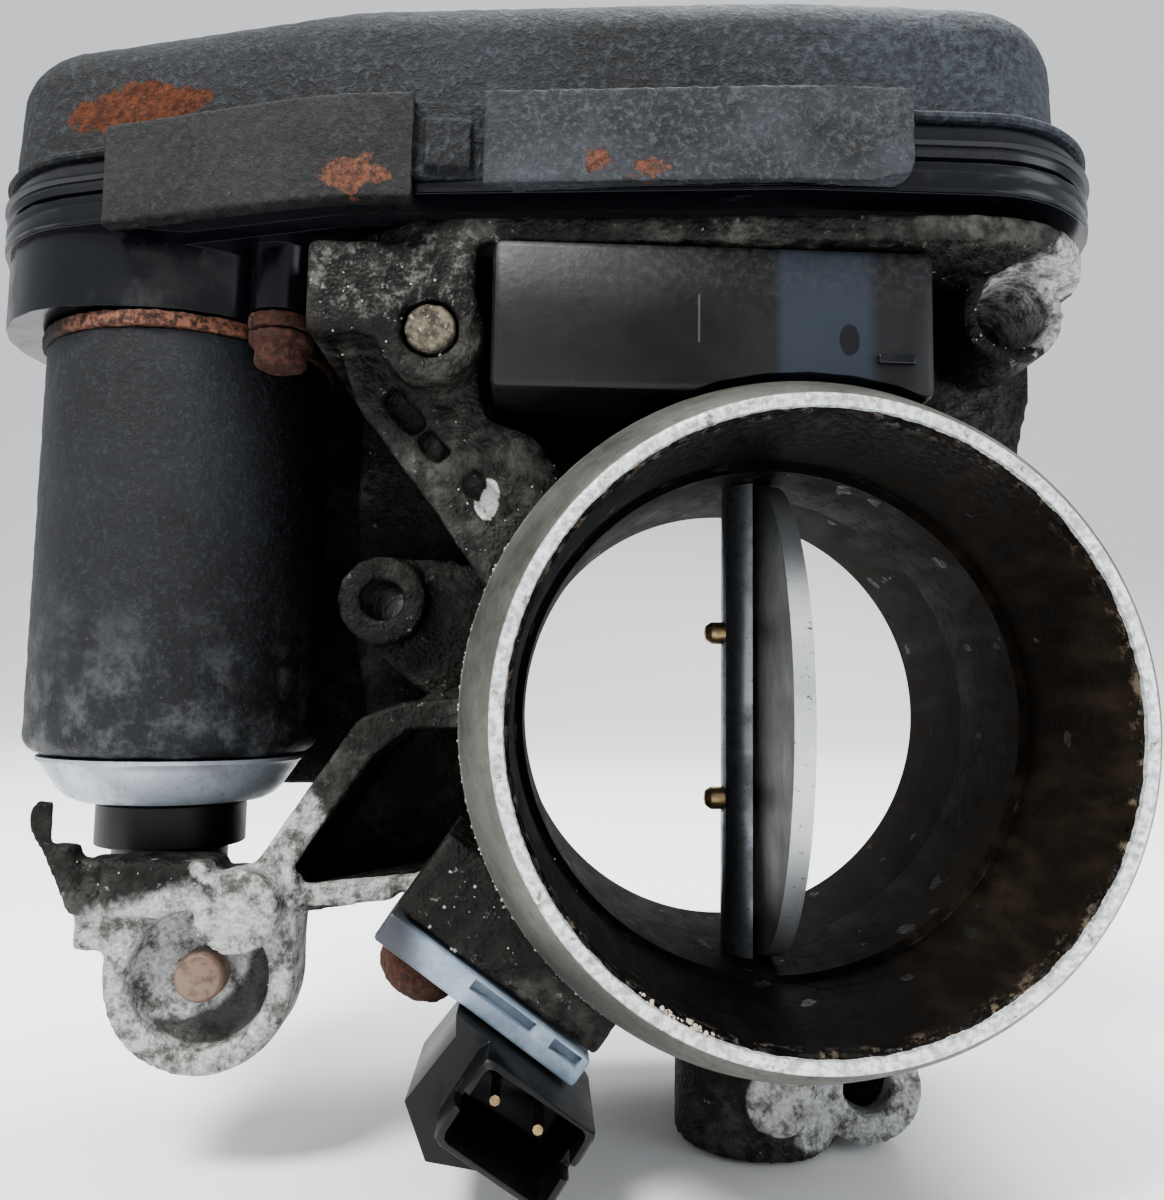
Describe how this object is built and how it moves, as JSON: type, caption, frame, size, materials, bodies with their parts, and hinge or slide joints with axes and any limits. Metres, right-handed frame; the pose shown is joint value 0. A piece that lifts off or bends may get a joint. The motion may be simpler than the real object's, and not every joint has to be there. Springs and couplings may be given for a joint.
{
  "type": "throttle body",
  "caption": "Engine throttle body: round cast bore with a spring-opened plate on a shaft, geared motor under a clipped cover, and a screwed-on air sensor.",
  "frame": {"origin": "on the bore's axis in the plane of the rear mounting face", "axes": "+Y along the bore towards the engine, with the inlet mouth at -Y; +Z along the plate's shaft, up to the gear cover; +X away from the motor"},
  "size_m": [0.1465, 0.0722, 0.1424],
  "materials": {
    "cast_aluminium": "dirty as-cast aluminium with machined faces",
    "machined_aluminium": "bright machined aluminium",
    "coated_steel": "rough dark coating with rust patches",
    "strap_steel": "worn dark coated steel strip",
    "black_moulding": "glossy black moulding",
    "black_plastic": "dusty black plastic",
    "seal_rubber": "black rubber",
    "bright_steel": "ground steel",
    "dark_steel": "dark oiled steel",
    "motor_coating": "speckled black coating",
    "rusty_steel": "rusty steel",
    "brass": "dull brass",
    "copper": "dull copper",
    "gear_nylon": "natural nylon",
    "pale_plastic": "pale blue-grey plastic",
    "ferrite": "sintered ferrite"
  },
  "bodies": {
    "body": {"throttle_housing": "cast_aluminium", "gear_tray": "black_moulding", "gear_cover": "coated_steel", "cover_gasket": "seal_rubber", "cover_clip_front_left": "strap_steel", "cover_clip_front_right": "strap_steel", "cover_clip_rear_left": "strap_steel", "cover_clip_rear_right": "strap_steel", "spring_case": "black_plastic", "return_spring": "dark_steel", "upper_bearing": "dark_steel", "lower_bearing": "dark_steel", "shaft_seal": "seal_rubber", "shaft_end_plug": "bright_steel", "position_sensor": "black_plastic", "intermediate_pin": "bright_steel", "motor_can": "motor_coating", "motor_flange": "rusty_steel", "motor_end_cap": "machined_aluminium", "motor_nose": "black_plastic", "motor_screw_front": "rusty_steel", "motor_screw_rear": "rusty_steel", "motor_magnet_left": "ferrite", "motor_magnet_right": "ferrite", "brush_card": "black_plastic", "motor_bearing_top": "brass", "motor_bearing_bottom": "brass", "bracket_rivet": "copper", "housing_bolt": "dark_steel", "sensor_flange": "pale_plastic", "sensor_body": "black_plastic", "sensor_probe": "black_plastic", "sensor_seal": "seal_rubber", "sensor_screw": "rusty_steel", "sensor_pin_left": "brass", "sensor_pin_right": "brass", "manifold_seal": "seal_rubber"},
    "throttle": {"throttle_shaft": "bright_steel", "throttle_plate": "bright_steel", "plate_screw_upper": "brass", "plate_screw_lower": "brass", "sector_gear": "gear_nylon", "sensor_magnet": "ferrite"},
    "intermediate": {"intermediate_gear": "gear_nylon"},
    "rotor": {"motor_shaft": "bright_steel", "armature": "dark_steel", "commutator": "copper", "motor_pinion": "brass"}
  },
  "joints": [
    {"name": "throttle_turn", "type": "hinge", "parent": "body", "child": "throttle", "pos_m": [0, -0.029, 0], "axis": [0, 0, -1], "range_deg": [0, 84], "stiffness_Nm_per_rad": 0.05, "deforming": ["return_spring"]},
    {"name": "intermediate_turn", "type": "hinge", "parent": "body", "child": "intermediate", "pos_m": [-0.04899, -0.02806, 0.06], "axis": [0, 0, -1], "range_deg": [-108, 0]},
    {"name": "motor_turn", "type": "hinge", "parent": "body", "child": "rotor", "pos_m": [-0.07949, -0.02747, 0], "axis": [0, 0, -1], "range_deg": [0, 440]}
  ],
  "couplings": [
    {"joint": "intermediate_turn", "follows": "throttle_turn", "ratio": -1.2791},
    {"joint": "motor_turn", "follows": "throttle_turn", "ratio": 5.2229}
  ]
}
